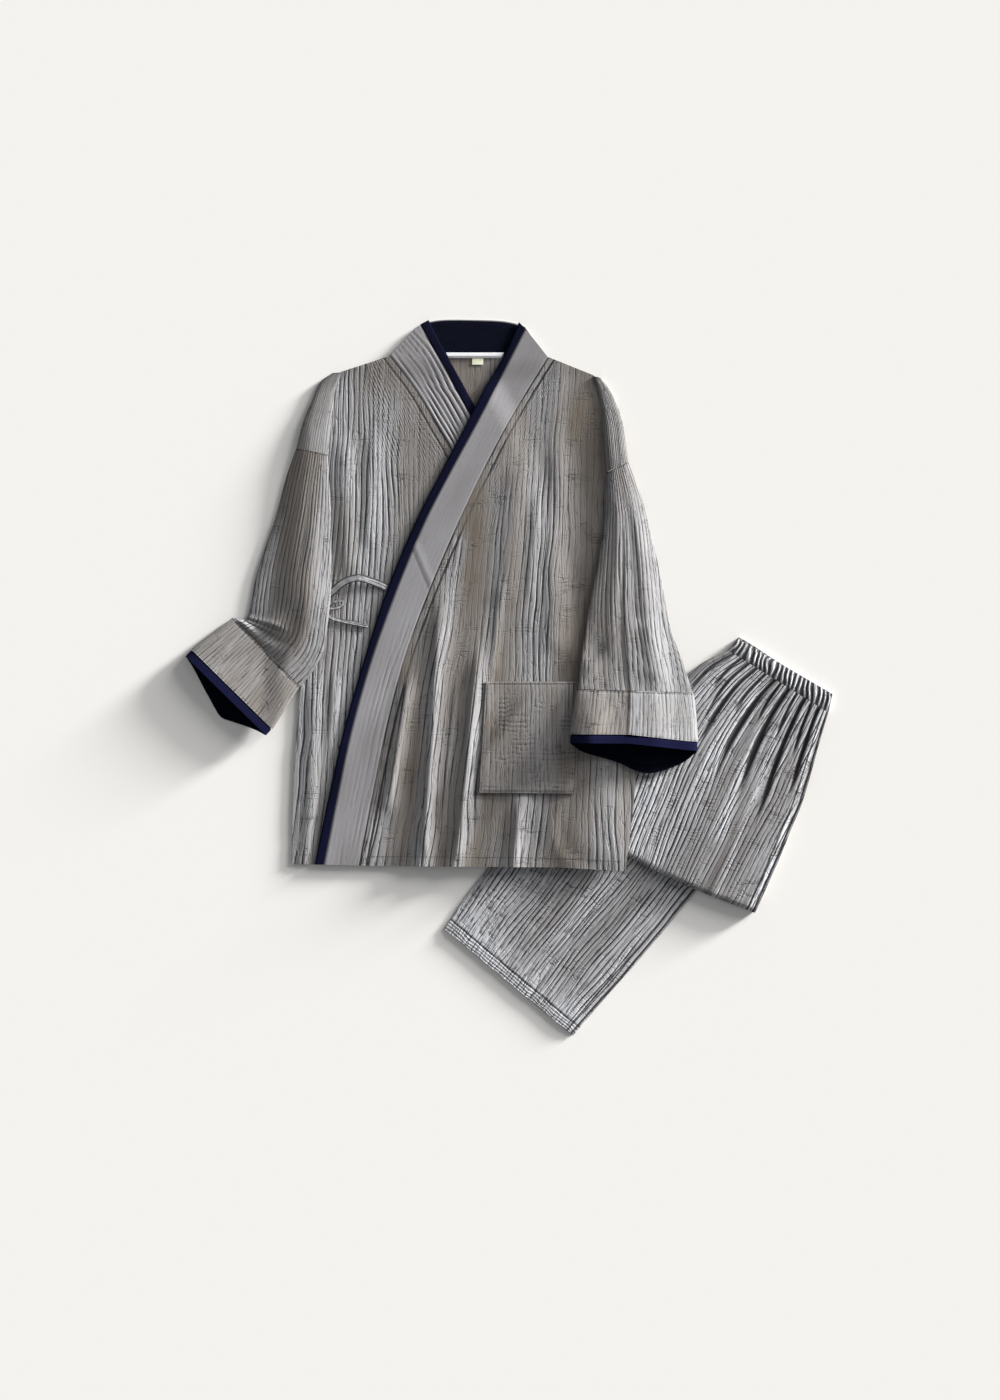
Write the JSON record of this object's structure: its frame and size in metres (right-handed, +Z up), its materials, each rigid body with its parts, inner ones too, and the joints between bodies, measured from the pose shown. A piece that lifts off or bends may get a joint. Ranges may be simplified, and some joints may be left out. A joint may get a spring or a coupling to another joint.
{
  "type": "kimono pajama set, laid flat",
  "caption": "Wrap jacket with navy-edged collar and cuffs, patch pocket and side tie, laid over folded elastic-waist trousers in crinkled gauze.",
  "frame": {"origin": "centre of the whole outline, on the surface the set lies on", "axes": "+X towards the wearer's left sleeve, +Y from the jacket's hem to its neck, +Z up from the surface"},
  "size_m": [0.9344, 1.0378, 0.0457],
  "materials": {
    "gauze": "crinkled cotton double gauze, taupe grey, matt",
    "band_gauze": "cotton double gauze pressed smooth, grey, matt",
    "trouser_gauze": "crinkled cotton double gauze, grey, matt",
    "navy": "plain woven cotton, dark navy, matt",
    "tape": "white woven cotton tape",
    "label": "plain cream satin label, no text"
  },
  "bodies": {
    "root": {"jacket_back": "gauze", "jacket_front_under": "gauze", "jacket_front_over": "gauze", "right_shoulder": "gauze", "left_shoulder": "gauze", "right_sleeve": "gauze", "left_sleeve": "gauze", "right_cuff": "gauze", "left_cuff": "gauze", "right_cuff_facing": "navy", "left_cuff_facing": "navy", "collar_band_under": "band_gauze", "collar_band_over": "band_gauze", "collar_back": "band_gauze", "collar_back_facing": "navy", "collar_edge_under": "navy", "collar_edge_over": "navy", "neck_tape": "tape", "neck_label": "label", "patch_pocket": "gauze", "tie_band": "gauze", "tie_loop": "gauze", "tie_end": "gauze", "tie_knot": "gauze", "waistband_front": "trouser_gauze", "waistband_back": "trouser_gauze", "trouser_upper": "trouser_gauze", "trouser_inner_folds": "trouser_gauze", "trouser_lower": "trouser_gauze", "trouser_lower_layers": "trouser_gauze"}
  },
  "joints": []
}
